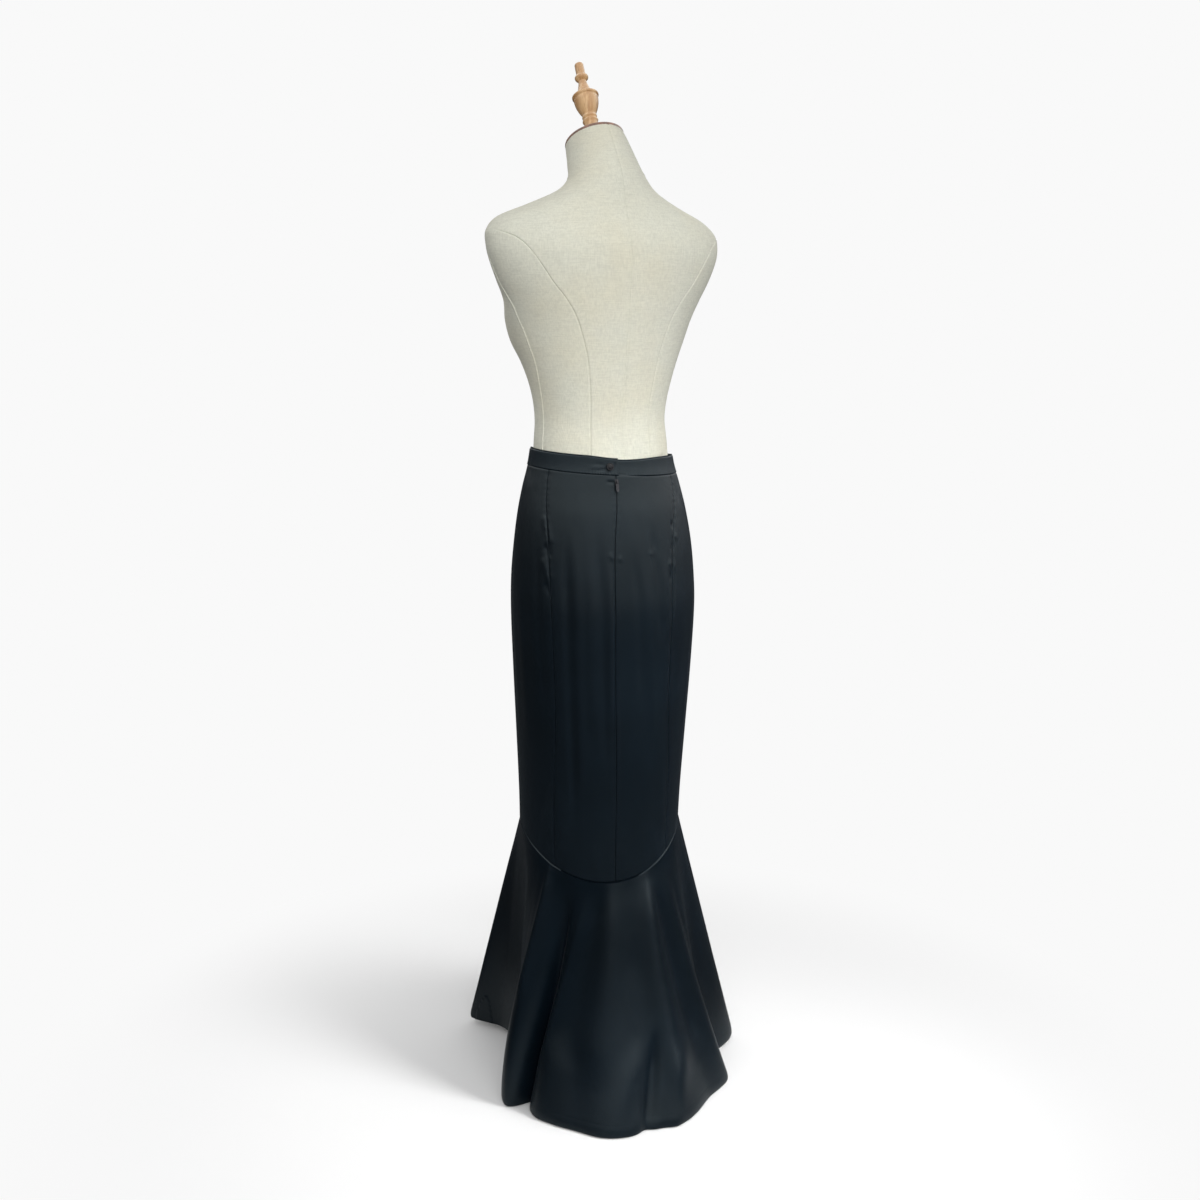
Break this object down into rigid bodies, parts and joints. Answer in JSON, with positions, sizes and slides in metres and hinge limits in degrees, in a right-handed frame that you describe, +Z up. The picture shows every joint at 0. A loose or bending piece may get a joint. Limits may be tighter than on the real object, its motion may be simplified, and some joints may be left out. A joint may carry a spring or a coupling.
{
  "type": "mermaid fishtail skirt on a dress form",
  "caption": "Long fitted black satin skirt with a flared fishtail flounce, back zip and buttoned waistband, shown on a limbless linen dress form with a turned wood finial.",
  "frame": {"origin": "centre of the stand's underside, on the floor, below the form's pole", "axes": "+Z up, the form's front towards -Y, the wearer's left towards +X"},
  "size_m": [0.4557, 0.48, 1.6312],
  "materials": {
    "black_satin": "soft satin sheen, black with a cool cast",
    "zip_tape": "matte woven tape",
    "zip_metal": "dark nickel, worn bright on the edges",
    "button": "glossy black",
    "linen": "matte plain-weave linen, greenish beige",
    "cap_wood": "stained, satin varnish",
    "finial_wood": "light wood, satin varnish",
    "stand_metal": "black powder coat"
  },
  "bodies": {
    "root": {"waistband": "black_satin", "front_panel": "black_satin", "side_back_left": "black_satin", "side_back_right": "black_satin", "centre_back_left": "black_satin", "centre_back_right": "black_satin", "flounce_back": "black_satin", "flounce_front": "black_satin", "zip_tape": "zip_tape", "zip_slider": "zip_metal", "button": "button", "form_torso": "linen", "neck_cap": "cap_wood", "finial": "finial_wood", "stand_pole": "stand_metal", "stand_base": "stand_metal"},
    "zip_pull": {"zip_pull": "zip_metal"}
  },
  "joints": [
    {"name": "zip_pull_hinge", "type": "hinge", "parent": "root", "child": "zip_pull", "pos_m": [0.02085, 0.08766, 1.00026], "axis": [0.9925, -0.1216, 0.0133], "range_deg": [0, 165]}
  ]
}
